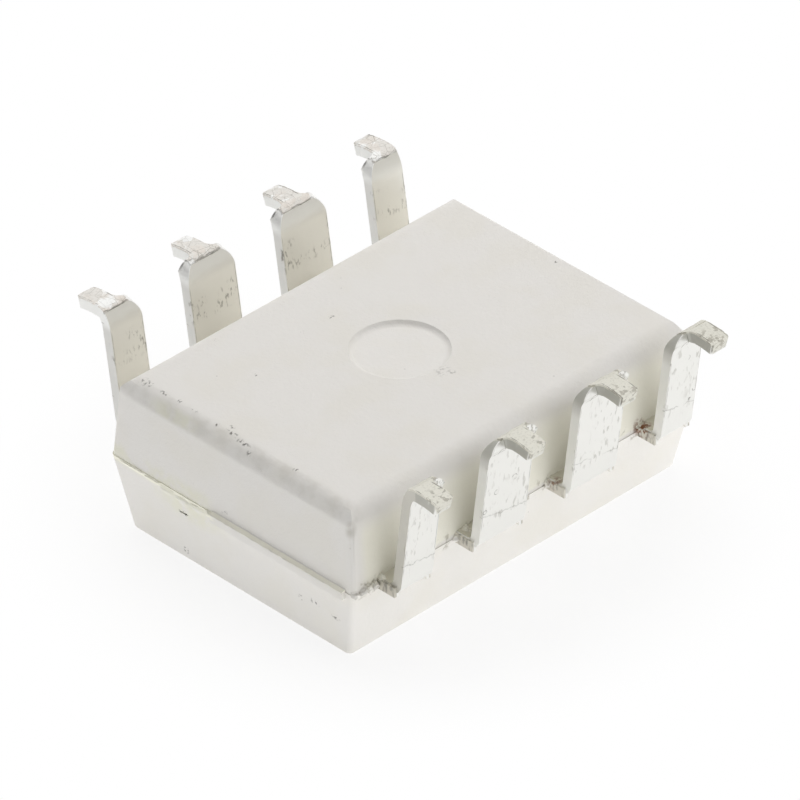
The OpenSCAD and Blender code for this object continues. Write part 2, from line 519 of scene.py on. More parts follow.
class Surface(Graph):
    """Node tree of a material that ends in one Principled shader. Its patterns are laid out in mm."""

    def __init__(self, name: str) -> None:
        """Starts a new material.

        Args:
            name: Name of the material.
        """
        self.material = bpy.data.materials.new(name)
        self.material.use_nodes = True
        super().__init__(self.material.node_tree)
        metres = self.node("ShaderNodeTexCoord", output="Object")
        self.place = self.vector("MULTIPLY", metres, (PER_METRE,) * 3)

    @cached_property
    def xyz(self) -> tuple[Signal, Signal, Signal]:
        """The three coordinates of a place."""
        return self.axes(self.place)

    def noise(self, scale: float, detail: float = 2.0, stretch: Triple = (1, 1, 1)) -> Signal:
        """Soft noise.

        Args:
            scale: Features per mm.
            detail: Octaves beyond the first.
            stretch: Factors on the three axes of the place.

        Returns:
            The noise, about 0.5 on average.
        """
        where = self.place if stretch == (1, 1, 1) else self.vector("MULTIPLY", self.place, stretch)
        return self.node("ShaderNodeTexNoise", sockets={"Vector": where, "Scale": scale, "Detail": detail})

    def cells(self, scale: float, feature: str = "F1", output: str = "Distance") -> Signal:
        """Voronoi cells, by their distance or their random colour."""
        sockets = {"Vector": self.place, "Scale": scale}
        return self.node("ShaderNodeTexVoronoi", {"feature": feature}, sockets, output)

    def away(self, point: Triple, stretch: Triple = (1, 1, 1)) -> Signal:
        """Distance in mm from a point, with the axes weighted."""
        offset = self.vector("MULTIPLY", self.vector("SUBTRACT", self.place, point), stretch)
        return self.node("ShaderNodeVectorMath", {"operation": "LENGTH"}, {0: offset}, "Value")

    def relief(self, height: Signal) -> Signal:
        """Normal of a surface whose height is given in mm."""
        return self.node("ShaderNodeBump", sockets={"Height": height, "Distance": MM, "Strength": 1.0})

    def close(self, **sockets: Any) -> bpy.types.Material:
        """Ends the tree.

        Args:
            sockets: Inputs of the Principled shader, with _ for a space.

        Returns:
            The material.
        """
        named = {name.replace("_", " "): value for name, value in sockets.items()}
        shader = self.node("ShaderNodeBsdfPrincipled", sockets=named)
        self.node("ShaderNodeOutputMaterial", sockets={"Surface": shader})
        return self.material


class StripSurface(Surface):
    """Surface of the formed strip, which knows where on a lead a place lies. Sizes in mm.

    The middle plane of the leaning plates goes through a point and moves outwards by its slope.
    """

    middle_y: float = 3.9626
    middle_z: float = 1.9309
    slope: float = 0.14054

    def __init__(self, name: str) -> None:
        """Starts the material and works out the places that its masks share.

        Args:
            name: Name of the material.
        """
        super().__init__(name)
        self.x, y, self.z = self.xyz
        self.across = (self.x + 2 * PITCH) % PITCH - PITCH / 2
        self.outward = abs(y)
        self.row_in = y.rise(-0.1, 0.1)
        self.row_out = 1 - self.row_in
        depth = self.outward - self.middle_y - (self.z - self.middle_z) * self.slope
        crown = self.row_in * self.z.rise(4.05, 4.15) * self.outward.rise(4.35, 4.33)
        self.outer = depth.rise(0.02, 0.08)
        self.inner = depth.rise(-0.02, -0.08).most(crown)


@dataclass(frozen=True)
class Mark:
    """A dark mark left by handling: place and radius in mm, weights of the axes, and strength."""

    point: Triple
    radius: float
    stretch: Triple = (1.0, 1.0, 1.0)
    share: float = 1.0

    def cover(self, s: Surface, spread: float) -> Signal:
        """Share of the mark at a place, which comes to 0 at so many times its radius."""
        return s.away(self.point, self.stretch).rise(self.radius * spread, self.radius * 0.5) * self.share


@dataclass(frozen=True)
class Splash:
    """Brown stain at the cut of the dam bar, over the lead and the package."""

    colour: tuple = srgb(132, 90, 62)
    spots: tuple[Mark, Mark] = (Mark((3.16, -3.56, 1.82), 0.18), Mark((0.66, -3.62, 1.80), 0.13, share=0.8))
    spread: float = 1.5

    def share(self, s: Surface) -> Signal:
        """Share of the stain at a place."""
        first, second = (spot.cover(s, self.spread) for spot in self.spots)
        return first.most(second) * s.noise(9.0, 5.0).rise(0.46, 0.56)


@dataclass(frozen=True)
class ResinFinish:
    """White filled resin with a fine mould grain, handling marks, a little soiling, and painted light and
    shade. Heights in mm.
    """

    colour: tuple = srgb(229, 227, 223)
    warm: tuple = srgb(226, 223, 214)
    # Painted light: a paler, warmer resin high on the -Y side between the leads, in place of light and warm
    # bounce.
    flank_light: tuple = srgb(238, 236, 224)
    # Partly painted light: a paler cream on the top of the -X flash and on the crumbs below it, partly the
    # flash's own cream tone and partly a lift of the shade on them.
    lip: tuple = srgb(248, 246, 232)
    smear: tuple = srgb(226, 225, 207)
    # Dark tone for soiling, and for painted shade on the -X bevel and along the parting line.
    grime_and_shade: tuple = srgb(150, 144, 126)
    speck: tuple = srgb(88, 84, 78)
    roughness: float = 0.62
    refraction: float = 1.5
    grain_height: float = 0.008
    mottle_height: float = 0.012
    seam_z: float = 1.735
    gate: Triple = (-4.74, 1.25, 1.5)
    # Middle of a darker patch at the upper -X/-Y corner.
    dark_corner: Triple = (-4.6, -3.24, 3.16)
    splash: Splash = Splash()
    mark_spread: float = 1.9
    marks: tuple[Mark, ...] = (
        Mark((-4.33, 2.85, 3.54), 0.075),
        Mark((-4.33, 2.71, 3.54), 0.06),
        Mark((-4.33, 2.27, 3.54), 0.06, (2.0, 0.6, 1.0)),
        Mark((-4.31, 1.86, 3.54), 0.04),
        Mark((-4.32, 1.43, 3.54), 0.05, (2.0, 0.8, 1.0)),
        Mark((-4.33, 0.77, 3.54), 0.045),
        Mark((-4.19, 0.48, 3.54), 0.05),
        Mark((-4.34, 0.30, 3.54), 0.07, (2.2, 0.4, 1.0)),
        Mark((-4.40, -0.03, 3.54), 0.07, (2.0, 0.5, 1.0)),
        Mark((-4.52, -0.30, 3.48), 0.05),
        Mark((-4.33, -1.44, 3.54), 0.045),
        Mark((-2.63, 1.43, 3.54), 0.035),
        Mark((-2.36, 2.88, 3.54), 0.03),
        Mark((-0.96, 1.85, 3.54), 0.03),
        Mark((-0.19, 1.82, 3.54), 0.045),
        Mark((0.05, -1.07, 3.54), 0.13, share=0.35),
        Mark((0.15, -1.25, 3.54), 0.05, share=0.5),
        Mark((4.31, 0.02, 3.54), 0.03),
        Mark((-4.70, 0.20, 1.90), 0.045, (1.0, 0.7, 1.0)),
        Mark((-4.60, -1.86, 0.85), 0.06),
        Mark((-4.60, -2.26, 0.95), 0.07, (1.0, 0.6, 1.2)),
        Mark((-4.60, -2.85, 0.87), 0.07, (1.0, 0.7, 1.4)),
        Mark((-4.56, 1.50, 0.24), 0.06),
        # Painted shade: this mark darkens the recessed slit by the torn gate.
        Mark((-4.74, 1.41, 1.25), 0.05, (0.4, 0.4, 1.4)),
    )

    def make(self) -> bpy.types.Material:
        """Builds the material.

        Returns:
            The resin.
        """
        s = Surface("white_resin")
        mottle = s.noise(0.9, 3.0)
        fine = s.noise(11.0, 4.0)
        # Painted light on the upper -Y side and on the -X flash.
        flank_light, lip = self._painted_light_masks(s)
        colour = s.mix(mottle.rise(0.42, 0.68) * 0.4, self.colour, self.warm)
        colour = s.mix(flank_light, colour, self.flank_light)
        # Painted light, partly the flash's own cream: paler on the -X flash and its crumbs.
        colour = s.mix(lip, colour, self.lip)
        colour = s.mix(self._smeared(s), colour, self.smear)
        # Soiling and painted shade.
        colour = s.mix(self._grimed_and_shaded(s), colour, self.grime_and_shade)
        colour = s.mix(self._marked(s), colour, self.speck)
        colour = s.mix(self.splash.share(s), colour, self.splash.colour)
        grain = (fine + s.noise(34.0, 2.0) * 0.5) * self.grain_height
        return s.close(
            Base_Color=colour,
            Roughness=self.roughness + (fine - 0.5) * 0.2,
            IOR=self.refraction,
            Normal=s.relief(grain + mottle * self.mottle_height),
        )

    def _painted_light_masks(self, s: Surface) -> tuple[Signal, Signal]:
        """Painted light: paler, warmer resin high on the -Y side between the leads, and paler cream on the
        top of the -X flash, partly its own cream tone.

        Args:
            s: The surface.

        Returns:
            The share of the painted light on the -Y side and the share on the flash.
        """
        x, y, z = s.xyz
        # Painted light: lighter and warmer high on the -Y side, between the leads.
        flank_light = y.rise(-3.22, -3.38) * z.rise(1.74, 1.84) * z.rise(3.4, 2.9) * x.rise(-4.55, -4.25)
        # Painted light on the top of the -X flash and on the crumbs below it, partly the flash's own cream.
        lip = x.rise(-4.74, -4.77) * z.rise(1.73, 1.75)
        bead = x.rise(-4.7, -4.73) * y.rise(0.3, 0.6) * z.band(1.63, self.seam_z, 0.012)
        return flank_light, lip.most(bead)

    def _smeared(self, s: Surface) -> Signal:
        """Cream film round the torn gate, along the parting line and on the bevel of the -X end.

        Args:
            s: The surface.

        Returns:
            The share of the film.
        """
        x, y, z = s.xyz
        gate = s.away(self.gate, (1.0, 0.55, 1.3)).rise(0.75, 0.2)
        film = y.rise(0.2, 1.0) * z.band(1.6, 2.02, 0.14) * s.noise(1.7, 4.0).rise(0.36, 0.56)
        film = film.most(y.band(1.2, 2.3, 0.3) * z.rise(3.2, 3.3) * 0.9)
        return gate.most(film) * x.rise(-4.4, -4.55) * s.noise(4.0, 3.0).rise(0.2, 0.6) * 0.75

    def _grimed_and_shaded(self, s: Surface) -> Signal:
        """Soiling and painted shade on the -X bevel, reaching onto the top before it; painted shade in the
        crease along the parting line; soiling by the lead roots on the -Y side; and a darker patch at the
        upper -X/-Y corner.

        Args:
            s: The surface.

        Returns:
            The share of the soiling and the painted shade.
        """
        x, y, z = s.xyz
        patchy = s.noise(2.4, 4.0)
        ragged = z + (s.noise(7.0, 3.0) - 0.5) * 0.12
        # Partly soiling, partly painted shade: darker across the -X bevel and onto the top before it.
        bevel = x.rise(-4.2, -4.4) * ragged.rise(3.22, 3.36)
        bevel = bevel * (0.02 + patchy.rise(0.4, 0.7) * 0.16)
        torn = x.rise(-4.5, -4.6) * y.rise(0.1, 0.5)
        # Painted shade in the crease along the parting line, patchy, left off the torn flash.
        seam_shade = abs(z - self.seam_z).rise(0.045, 0.0) * patchy.rise(0.35, 0.6) * 0.1 * (1 - torn)
        root = s.noise(6.0, 4.0).rise(0.52, 0.66) * z.band(1.55, 1.9, 0.08) * y.rise(-3.3, -3.42) * 0.6
        # A darker patch round the upper -X/-Y corner.
        corner = s.away(self.dark_corner, (1.0, 1.0, 0.55)).rise(0.16, 0.02)
        corner = corner * patchy.rise(0.3, 0.6) * 0.45
        return bevel.most(seam_shade).most(root).most(corner)

    def _marked(self, s: Surface) -> Signal:
        """Clusters of fine scratches and specks of dust.

        Args:
            s: The surface.

        Returns:
            The share of the marks.
        """
        scratchy = s.noise(15.0, 3.0, (0.8, 1.0, 1.0)).rise(0.5, 0.6)
        marked = s.cells(1.9).rise(0.05, 0.02) * s.noise(0.7).rise(0.5, 0.62) * 0.6
        for mark in self.marks:
            marked = marked.most(mark.cover(s, self.mark_spread) * scratchy)
        return marked * 0.85


@dataclass(frozen=True)
class TinFinish:
    """Tin plate on formed copper strip: scratched, creased by the die, stained at the cut dam bar, with
    painted shade, light and glints.

    Sizes in mm. Trim is the direction, in Y and Z, in which a shoulder is measured.
    """

    colour: tuple = (0.88, 0.875, 0.84, 1.0)
    # Painted shade: the inner faces get a duller olive copy of the plate.
    inner_shade: tuple = (0.80, 0.785, 0.72, 1.0)
    # Painted light: a lighter, yellower copy of the plate low on the +Y inner faces, where the body shades
    # them.
    low_lift: tuple = (0.86, 0.84, 0.76, 1.0)
    # Painted shade: a darker copy of the plate inside the curl of the +Y crowns and on the -X end side of the
    # -Y row.
    curl_shade: tuple = (0.64, 0.625, 0.57, 1.0)
    # Painted shade on the sheared sides: a darker copy of the plate for sides that face -X.
    left_edge_shade: tuple = (0.73, 0.725, 0.70, 1.0)
    plate_edge: tuple = (0.9, 0.9, 0.88, 1.0)
    # Painted shade: darker still on the feet's sides and the upper -X sides of the -Y row.
    foot_edge_shade: tuple = (0.52, 0.515, 0.47, 1.0)
    tread_in: tuple = (0.80, 0.775, 0.73, 1.0)
    # Painted glints: a lighter tone on random facets of the +Y feet.
    facet_glint: tuple = (0.95, 0.95, 0.93, 1.0)
    tread_out: tuple = (0.74, 0.725, 0.65, 1.0)
    warm: tuple = (0.80, 0.75, 0.69, 1.0)
    # Dark tone for soiling, and for painted shade in the pleats between the facets of the +Y feet.
    dirt_and_pleat_shade: tuple = srgb(122, 116, 102)
    # Dark tone for die creases and the hatch of the cut, and for painted shadow and shade across the crowns
    # and along the edges.
    line: tuple = srgb(104, 101, 92)
    cut: tuple = srgb(214, 210, 199)
    splash: Splash = Splash()
    roughness: float = 0.34
    wave_height: float = 0.02
    ripple_height: float = 0.0025
    streak_depth: float = 0.003
    beat_height: float = 0.035
    line_depth: float = 0.01
    trim: tuple[float, float] = (0.2796, 0.9601)
    top_z: float = 4.42
    crown_y: float = 4.488
    crease_y: float = 4.288
    tip_y: float = 5.02

    def make(self) -> bpy.types.Material:
        """Builds the material.

        Returns:
            The tin plate.
        """
        s = StripSurface("tin_plate")
        wave = s.noise(1.7, 2.0)
        grit = s.noise(22.0, 3.0)
        streak = s.noise(5.0, 3.0, (3.2, 3.2, 0.4))
        tread = self._tread(s)
        side, foot_side = self._sides(s)
        # Die creases and a painted shadow across the +Y crowns.
        lines = self._die_lines_and_tread_shadow(s)
        soil = self._dirt(s, streak).most(self._speckle(s, wave, grit) * tread)
        # Painted light: the +Y inner faces lighter and less metallic towards the bottom, where the body
        # shades them.
        low = s.inner * s.row_in * s.z.rise(4.0, 2.9)
        # Painted shade: a duller olive copy of the plate on the inner faces.
        colour = s.mix(s.inner, self.colour, self.inner_shade)
        colour = s.mix(low, colour, self.low_lift)
        # Painted shade: darker inside the curl of the +Y crowns.
        colour = s.mix(s.inner * s.row_in * s.z.rise(3.9, 4.2), colour, self.curl_shade)
        # Painted shade on the sheared sides, by which way they face.
        colour = s.mix(side, colour, self._side_shade(s, foot_side))
        colour = s.mix(tread, colour, self._tread_colour(s))
        # Painted shade: dark lines in the pleats between the facets of the +Y feet.
        pleat_shade = s.cells(4.4, "DISTANCE_TO_EDGE").rise(0.035, 0.0) * tread * s.row_in * wave.rise(0.35, 0.6)
        colour = s.mix((soil * 0.7).most(pleat_shade * 0.5), colour, self.dirt_and_pleat_shade)
        # Die creases, painted shadow across the +Y crowns and painted shade along the edges.
        colour = s.mix(lines.most(self._edge_shade_lines(s)) * 0.8, colour, self.line)
        colour, stain = self._stained(s, colour)
        beaten = s.cells(4.6, "SMOOTH_F1") * (0.35 + s.row_in * 0.65) * tread
        height = wave * self.wave_height + s.noise(8.0, 2.0) * self.ripple_height
        height = height - streak.rise(0.56, 0.7) * s.outer * self.streak_depth - lines * self.line_depth
        height = height + beaten * self.beat_height + grit * (0.001 + tread * 0.004)
        dull = soil.most(lines).most(stain)
        matt = (side * s.z.rise(4.1, 4.25) * s.row_in * 0.4).most(low * 0.7)
        return s.close(
            Base_Color=colour,
            Metallic=1 - (dull * 0.7).most(matt).most(side * 0.25),
            Roughness=self.roughness + (wave - 0.5) * 0.2 + dull * 0.3 + side * 0.25,
            Normal=s.relief(height),
        )

    def _tread(self, s: StripSurface) -> Signal:
        """Upper face of the feet, from the crease on the crown to the tip, and the tip itself.

        Args:
            s: The surface of the strip.

        Returns:
            The share of the tread.
        """
        back = (self.crown_y - s.outward).most(0.0)
        past = (s.outward - self.crown_y - 0.08).most(0.0)
        drop = self.top_z - s.z - back * back / 0.77 - past * past / 3.9
        face = drop.rise(0.05, 0.03) * (s.outward - self.crease_y).rise(-0.012, 0.0)
        return face.most(s.outward.rise(self.tip_y, self.tip_y + 0.03))

    def _tread_colour(self, s: StripSurface) -> Signal:
        """Beaten facets on the feet of the +Y row, random ones lighter as painted glints, and a plain dull
        plate on the others.

        Args:
            s: The surface of the strip.

        Returns:
            The colour of the treads.
        """
        # Painted glints: random facets made lighter.
        facet_glint = s.axes(s.cells(5.2, output="Color"))[0]
        struck = s.mix(facet_glint.rise(0.6, 0.66), self.tread_in, self.facet_glint)
        struck = s.mix(s.noise(3.1, 3.0).rise(0.48, 0.6) * 0.8, struck, self.warm)
        return s.mix(s.row_in, self.tread_out, struck)

    def _sides(self, s: StripSurface) -> tuple[Signal, Signal]:
        """Sheared sides of the strip, round the shoulders to the foot.

        Args:
            s: The surface of the strip.

        Returns:
            The share of all sides, and the share of the foot's own.
        """
        width = abs(s.across)
        plate = width.rise(PLATE_HALF - 0.006, PLATE_HALF - 0.002)
        plate = plate.most(abs(s.x).rise(END_EDGE - 0.006, END_EDGE - 0.002))
        rise = s.z * self.trim[1] - s.outward * self.trim[0]
        wide = ((width - NECK[0]) / SHOULDER[0]).most(0.0)
        long = ((rise - NECK[1]) / SHOULDER[1]).most(0.0)
        shoulder = (wide * wide + long * long).rise(0.93, 0.97) * long.rise(0.0, 0.05)
        shoulder = shoulder * s.outward.rise(4.42, 4.4)
        half = FOOT_HALF + s.outward.rise(4.51, 4.34) * 0.17
        foot = (width - half).band(-0.006, 0.035, 0.006) * s.outward.rise(4.29, 4.31) * s.z.rise(4.0, 4.1)
        return plate.most(shoulder).most(foot), foot

    def _side_shade(self, s: StripSurface, foot_side: Signal) -> Signal:
        """Colour of the sheared sides by which way they face, as painted shade: a darker copy on the sides
        that face -X, except high on the +Y row; darker still high on the -X sides of the -Y row, on the
        feet's sides of that row and on its -X end; the olive of its treads high on its +X sides.

        Args:
            s: The surface of the strip.
            foot_side: The share of the foot's own sides.

        Returns:
            The colour of the sides.
        """
        left = s.across.rise(0.05, -0.05)
        high = s.z.rise(3.6, 3.9)
        colour = s.mix(s.row_in.most(high) * left, self.plate_edge, self.left_edge_shade)
        colour = s.mix(s.row_out * s.z.rise(3.85, 4.15) * left, colour, self.foot_edge_shade)
        colour = s.mix(s.row_in * s.z.rise(3.9, 4.1), colour, self.plate_edge)
        # Painted shade: darker on the -X end side of the -Y row.
        colour = s.mix(s.row_out * s.x.rise(-4.0, -4.03), colour, self.curl_shade)
        colour = s.mix(s.row_out * high * (1 - left), colour, self.tread_out)
        return s.mix(foot_side * s.row_out, colour, self.foot_edge_shade)

    def _die_lines_and_tread_shadow(self, s: StripSurface) -> Signal:
        """Dark lines: a painted shadow under the back edge of the tread, across the crown inside, and creases
        that the forming dies left low and high on the plate outside.

        Args:
            s: The surface of the strip.

        Returns:
            The share of the creases and of the painted shadow.
        """
        ragged = s.noise(5.0, 3.0) - 0.5
        broken = s.noise(2.6, 2.0).rise(0.38, 0.5) * s.outer
        # Painted shadow: a ragged dark line under the back edge of the tread on the +Y row, sunk a little as
        # a groove too.
        crown = abs(s.outward - self.crease_y - ragged * 0.06).rise(0.016, 0.004) * s.z.rise(4.28, 4.31)
        crown = crown * s.row_in * abs(s.across).rise(0.44, 0.38)
        crown = crown * (0.25 + s.noise(3.7, 2.0).rise(0.42, 0.55) * 0.75)
        low = abs(s.z - 2.38 + s.across * 0.19 + ragged * 0.22).rise(0.018, 0.004) * broken
        high = abs(s.z - 4.06 - ragged * 0.06).rise(0.018, 0.006) * s.across.band(-0.55, -0.2, 0.05) * broken
        wide = s.noise(1.9, 2.0, (1.0, 1.0, 0.6))
        nicks = abs(s.cells(2.3) - 0.12 - wide * 0.06).rise(0.018, 0.006)
        nicks = nicks * s.noise(3.3, 2.0).rise(0.55, 0.6) * s.outer * s.z.band(2.3, 3.9, 0.2)
        return (crown * 0.6).most(low * 0.4).most(high * 0.4).most(nicks * 0.8)

    def _edge_shade_lines(self, s: StripSurface) -> Signal:
        """Painted shade: thin dark lines along the edges of the strip.

        Args:
            s: The surface of the strip.

        Returns:
            The share of the lines.
        """
        width = abs(s.across)
        plate = width.band(PLATE_HALF - 0.028, PLATE_HALF - 0.012, 0.006)
        plate = plate.most(abs(s.x).band(END_EDGE - 0.028, END_EDGE - 0.012, 0.006))
        plate = plate * s.z.band(2.2, 3.9, 0.1)
        foot = width.band(FOOT_HALF - 0.03, FOOT_HALF - 0.012, 0.006) * s.outward.rise(4.45, 4.55)
        return (plate * 0.6).most(foot * s.z.rise(4.1, 4.2)) * s.noise(3.4, 3.0).rise(0.36, 0.56)

    def _dirt(self, s: StripSurface, streak: Signal) -> Signal:
        """Fine soiling: rubbed patches half way up the inner faces, streaks on the outer ones and grit above.

        Args:
            s: The surface of the strip.
            streak: Noise that is drawn out up the plate.

        Returns:
            The share of the soiling.
        """
        patch = s.noise(2.2, 3.0).rise(0.48, 0.62) * abs(s.across + 0.05).rise(0.1, 0.4)
        patch = patch * s.z.band(3.2, 3.75, 0.12)
        rubbed = s.noise(3.0, 2.0).rise(0.4, 0.6) * s.z.band(3.12, 3.36, 0.08) * 0.7
        grains = s.noise(13.0, 4.0, (1.4, 1.0, 0.6)).rise(0.5, 0.62)
        inside = patch.most(rubbed) * grains * s.inner * s.row_in
        scuffs = s.noise(8.0, 4.0, (1.3, 1.0, 0.45)).rise(0.56, 0.66) * s.noise(1.6).rise(0.35, 0.6) * 0.5
        scuffs = scuffs.most(streak.rise(0.64, 0.74) * 0.35) * s.z.band(2.2, 4.0, 0.1)
        gritty = s.noise(14.0, 3.0).rise(0.46, 0.6) * s.z.rise(3.95, 4.05) * s.across.rise(0.26, 0.32)
        return inside.most(scuffs * s.outer * s.row_out).most(gritty * s.row_out * 0.7)

    def _speckle(self, s: StripSurface, wave: Signal, grit: Signal) -> Signal:
        """Dark grains on the treads, most of them towards the tips of the -Y row.

        Args:
            s: The surface of the strip.
            wave: Wide noise.
            grit: Fine noise.

        Returns:
            The share of the grains, also beside the treads.
        """
        tips = (s.outward + wave * 0.3).rise(4.75, 4.95) * s.row_out
        grains = s.noise(9.0, 4.0).rise(0.54, 0.62) * tips
        return (grains * 0.7).most(grit.rise(0.52, 0.64) * 0.2)

    def _stained(self, s: StripSurface, colour: Signal) -> tuple[Signal, Signal]:
        """Bare hatched cut of the dam bar, and the brown stain on it.

        Args:
            s: The surface of the strip.
            colour: The colour so far.

        Returns:
            The colour with both, and the share of hatch and stain.
        """
        cut = abs(s.across).rise(PLATE_HALF, PLATE_HALF + 0.03)
        cut = cut.most(abs(s.x).rise(END_EDGE, END_EDGE + 0.03)) * s.z.rise(2.15, 2.05)
        hatch = s.noise(8.0, 4.0, (1.0, 1.6, 0.6)).rise(0.48, 0.66) * cut
        hatch = hatch * s.noise(1.3).rise(0.3, 0.6) * 0.6
        stain = self.splash.share(s)
        colour = s.mix(hatch, s.mix(cut * 0.8, colour, self.cut), self.line)
        return s.mix(stain, colour, self.splash.colour), stain.most(hatch).most(cut * 0.5)


@dataclass(frozen=True)
class DieFinish:
    """Sawn chip: dark polished face with lighter bond pads and frosted edges. Cells per mm, height in mm."""

    name: str
    colour: tuple
    pad: tuple
    cell: float
    frost_height: float = 0.002

    def make(self) -> bpy.types.Material:
        """Builds the material.

        Returns:
            The chip's material.
        """
        s = Surface(self.name)
        shade = s.noise(14.0, 3.0)
        tone = s.axes(s.cells(self.cell, output="Color"))[0].rise(0.72, 0.76)
        colour = s.mix(tone * 0.5, self.colour, self.pad)
        return s.close(
            Base_Color=s.mix(shade.rise(0.45, 0.7) * 0.3, colour, self.pad),
            Metallic=tone * 0.4,
            Roughness=0.22 + shade * 0.2,
            Normal=s.relief(shade * self.frost_height),
        )


@dataclass(frozen=True)
class GoldFinish:
    """Drawn gold wire with faint die lines. Height in mm."""

    colour: tuple = (0.94, 0.68, 0.26, 1.0)
    drawn: tuple = (0.75, 0.48, 0.15, 1.0)
    line_height: float = 0.001

    def make(self) -> bpy.types.Material:
        """Builds the material.

        Returns:
            The gold.
        """
        s = Surface("gold_wire")
        lines = s.noise(40.0, 2.0)
        return s.close(
            Base_Color=s.mix(lines.rise(0.4, 0.7) * 0.2, self.colour, self.drawn),
            Metallic=1.0,
            Roughness=0.16 + lines * 0.12,
            Normal=s.relief(lines * self.line_height),
        )


@dataclass(frozen=True)
class SiliconeFinish:
    """Clear soft silicone with a few faint clouds. Height in mm."""

    colour: tuple = (0.93, 0.95, 0.95, 1.0)
    clouded: tuple = (0.86, 0.9, 0.9, 1.0)
    refraction: float = 1.41
    clarity: float = 0.9
    cloud_height: float = 0.004

    def make(self) -> bpy.types.Material:
        """Builds the material.

        Returns:
            The silicone.
        """
        s = Surface("clear_silicone")
        cloud = s.noise(2.4, 3.0)
        return s.close(
            Base_Color=s.mix(cloud.rise(0.4, 0.7) * 0.3, self.colour, self.clouded),
            Roughness=0.06 + cloud * 0.08,
            IOR=self.refraction,
            Transmission_Weight=self.clarity,
            Normal=s.relief(cloud * self.cloud_height),
        )


